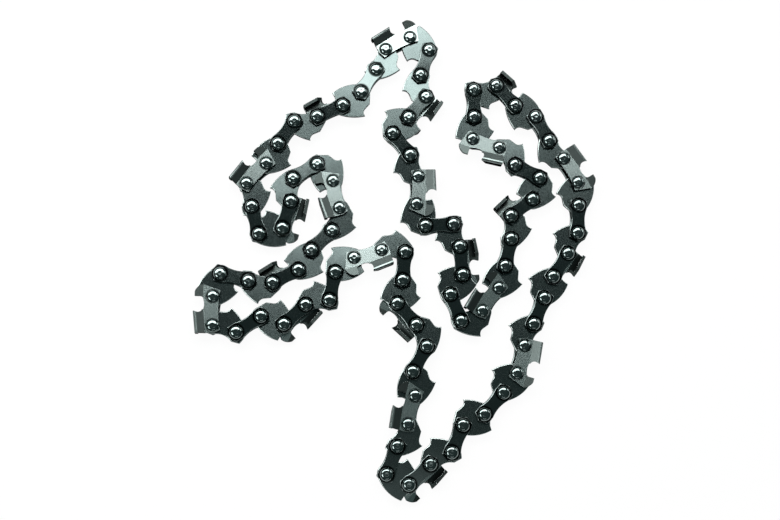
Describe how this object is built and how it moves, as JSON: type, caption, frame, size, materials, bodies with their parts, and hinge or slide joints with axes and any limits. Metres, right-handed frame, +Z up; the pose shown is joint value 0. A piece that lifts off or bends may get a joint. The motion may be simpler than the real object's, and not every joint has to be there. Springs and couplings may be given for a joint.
{
  "type": "chainsaw chain loop",
  "caption": "Closed loop of low-profile chainsaw chain lying loose on its side, with left and right cutters, tie straps, tanged drive links and domed rivets.",
  "frame": {"origin": "under the middle of the loop as it lies, on the surface that its lower teeth rest on", "axes": "+Z up, along the rivets; +Y up the picture, along the loop's greatest length; +X to the picture's right"},
  "size_m": [0.144, 0.1738, 0.0057],
  "materials": {
    "tie_strap_steel": "blued hardened strip steel, tumbled",
    "drive_link_steel": "blued hardened strip steel, tumbled bright on the faces",
    "cutter_steel": "hard-chromed tooth steel with ground cutting edges",
    "rivet_steel": "spun and polished rivet heads"
  },
  "bodies": {
    "middle_run": {"middle_run_drive_links": "drive_link_steel", "middle_run_left_cutters": "cutter_steel", "middle_run_right_cutters": "cutter_steel", "middle_run_rivets": "rivet_steel", "middle_run_tie_straps": "tie_strap_steel"},
    "top_link": {"top_link_rivets": "rivet_steel", "top_link_tie_straps": "tie_strap_steel"},
    "left_run": {"left_run_drive_links": "drive_link_steel", "left_run_left_cutters": "cutter_steel", "left_run_right_cutters": "cutter_steel", "left_run_rivets": "rivet_steel", "left_run_tie_straps": "tie_strap_steel"},
    "corner_run": {"corner_run_drive_links": "drive_link_steel", "corner_run_left_cutters": "cutter_steel", "corner_run_right_cutters": "cutter_steel", "corner_run_rivets": "rivet_steel", "corner_run_tie_straps": "tie_strap_steel"},
    "cross_link": {"cross_link_right_cutters": "cutter_steel", "cross_link_rivets": "rivet_steel", "cross_link_tie_straps": "tie_strap_steel"},
    "lower_run": {"lower_run_drive_links": "drive_link_steel", "lower_run_left_cutters": "cutter_steel", "lower_run_right_cutters": "cutter_steel", "lower_run_rivets": "rivet_steel", "lower_run_tie_straps": "tie_strap_steel"},
    "bottom_run": {"bottom_run_drive_links": "drive_link_steel", "bottom_run_left_cutters": "cutter_steel", "bottom_run_right_cutters": "cutter_steel", "bottom_run_rivets": "rivet_steel", "bottom_run_tie_straps": "tie_strap_steel"},
    "right_run": {"right_run_drive_links": "drive_link_steel", "right_run_left_cutters": "cutter_steel", "right_run_rivets": "rivet_steel", "right_run_tie_straps": "tie_strap_steel"},
    "right_link": {"right_link_rivets": "rivet_steel", "right_link_tie_straps": "tie_strap_steel"},
    "hook_run": {"hook_run_drive_links": "drive_link_steel", "hook_run_left_cutters": "cutter_steel", "hook_run_right_cutters": "cutter_steel", "hook_run_rivets": "rivet_steel", "hook_run_tie_straps": "tie_strap_steel"},
    "drive_link_05": {"drive_link_05": "drive_link_steel"},
    "drive_link_06": {"drive_link_06": "drive_link_steel"},
    "drive_link_15": {"drive_link_15": "drive_link_steel"},
    "drive_link_20": {"drive_link_20": "drive_link_steel"},
    "drive_link_21": {"drive_link_21": "drive_link_steel"},
    "drive_link_25": {"drive_link_25": "drive_link_steel"},
    "drive_link_30": {"drive_link_30": "drive_link_steel"},
    "drive_link_32": {"drive_link_32": "drive_link_steel"},
    "drive_link_33": {"drive_link_33": "drive_link_steel"},
    "drive_link_40": {"drive_link_40": "drive_link_steel"}
  },
  "joints": [
    {"name": "link_05_turn", "type": "hinge", "parent": "middle_run", "child": "drive_link_05", "pos_m": [-0.00383, 0.07578, 0.00285], "axis": [0, 0, 1], "range_deg": [-22, 20]},
    {"name": "top_link_turn", "type": "hinge", "parent": "drive_link_05", "child": "top_link", "pos_m": [-0.0074, 0.06812, 0.00285], "axis": [0, 0, 1], "range_deg": [-20, 22]},
    {"name": "link_06_turn", "type": "hinge", "parent": "top_link", "child": "drive_link_06", "pos_m": [-0.01295, 0.05957, 0.00285], "axis": [0, 0, 1], "range_deg": [-45, 0]},
    {"name": "left_run_turn", "type": "hinge", "parent": "drive_link_06", "child": "left_run", "pos_m": [-0.01961, 0.05437, 0.00285], "axis": [0, 0, 1], "range_deg": [0, 45]},
    {"name": "link_15_turn", "type": "hinge", "parent": "left_run", "child": "drive_link_15", "pos_m": [-0.04456, -0.01056, 0.00285], "axis": [0, 0, 1], "range_deg": [0, 20]},
    {"name": "corner_run_turn", "type": "hinge", "parent": "drive_link_15", "child": "corner_run", "pos_m": [-0.05298, -0.00983, 0.00285], "axis": [0, 0, 1], "range_deg": [-20, 0]},
    {"name": "link_20_turn", "type": "hinge", "parent": "corner_run", "child": "drive_link_20", "pos_m": [-0.02255, -0.00681, 0.00285], "axis": [0, 0, 1], "range_deg": [-45, 0]},
    {"name": "cross_link_turn", "type": "hinge", "parent": "drive_link_20", "child": "cross_link", "pos_m": [-0.01589, -0.00161, 0.00285], "axis": [0, 0, 1], "range_deg": [0, 45]},
    {"name": "link_21_turn", "type": "hinge", "parent": "cross_link", "child": "drive_link_21", "pos_m": [-0.0061, 0.0012, 0.00285], "axis": [0, 0, 1], "range_deg": [0, 20]},
    {"name": "link_40_turn", "type": "hinge", "parent": "middle_run", "child": "drive_link_40", "pos_m": [0.04055, 0.00539, 0.00285], "axis": [0, 0, 1], "range_deg": [-12, 38]},
    {"name": "hook_run_turn", "type": "hinge", "parent": "drive_link_40", "child": "hook_run", "pos_m": [0.04069, 0.01384, 0.00285], "axis": [0, 0, 1], "range_deg": [-38, 12]},
    {"name": "link_33_turn", "type": "hinge", "parent": "hook_run", "child": "drive_link_33", "pos_m": [0.06569, 0.02626, 0.00285], "axis": [0, 0, 1], "range_deg": [-12, 38]},
    {"name": "right_link_turn", "type": "hinge", "parent": "drive_link_33", "child": "right_link", "pos_m": [0.06554, 0.01781, 0.00285], "axis": [0, 0, 1], "range_deg": [-38, 12]},
    {"name": "link_32_turn", "type": "hinge", "parent": "right_link", "child": "drive_link_32", "pos_m": [0.06483, 0.00765, 0.00285], "axis": [0, 0, 1], "range_deg": [-6, 45]},
    {"name": "right_run_turn", "type": "hinge", "parent": "drive_link_32", "child": "right_run", "pos_m": [0.06099, 0.00012, 0.00285], "axis": [0, 0, 1], "range_deg": [-45, 6]},
    {"name": "link_30_turn", "type": "hinge", "parent": "right_run", "child": "drive_link_30", "pos_m": [0.04771, -0.02536, 0.00285], "axis": [0, 0, 1], "range_deg": [-22, 20]},
    {"name": "bottom_run_turn", "type": "hinge", "parent": "drive_link_30", "child": "bottom_run", "pos_m": [0.04414, -0.03302, 0.00285], "axis": [0, 0, 1], "range_deg": [-20, 22]},
    {"name": "link_25_turn", "type": "hinge", "parent": "bottom_run", "child": "drive_link_25", "pos_m": [-0.00137, -0.06783, 0.00285], "axis": [0, 0, 1], "range_deg": [-6, 45]},
    {"name": "lower_run_turn", "type": "hinge", "parent": "drive_link_25", "child": "lower_run", "pos_m": [0.00247, -0.0603, 0.00285], "axis": [0, 0, 1], "range_deg": [-45, 6]}
  ],
  "couplings": [
    {"joint": "top_link_turn", "follows": "link_05_turn", "ratio": -1},
    {"joint": "left_run_turn", "follows": "link_06_turn", "ratio": -1},
    {"joint": "corner_run_turn", "follows": "link_15_turn", "ratio": -1},
    {"joint": "link_20_turn", "follows": "link_06_turn", "ratio": 1},
    {"joint": "cross_link_turn", "follows": "link_06_turn", "ratio": -1},
    {"joint": "link_21_turn", "follows": "link_15_turn", "ratio": 1},
    {"joint": "hook_run_turn", "follows": "link_40_turn", "ratio": -1},
    {"joint": "link_33_turn", "follows": "link_40_turn", "ratio": 1},
    {"joint": "right_link_turn", "follows": "link_40_turn", "ratio": -1},
    {"joint": "right_run_turn", "follows": "link_32_turn", "ratio": -1},
    {"joint": "link_30_turn", "follows": "link_05_turn", "ratio": 1},
    {"joint": "bottom_run_turn", "follows": "link_05_turn", "ratio": -1},
    {"joint": "link_25_turn", "follows": "link_32_turn", "ratio": 1},
    {"joint": "lower_run_turn", "follows": "link_32_turn", "ratio": -1}
  ]
}
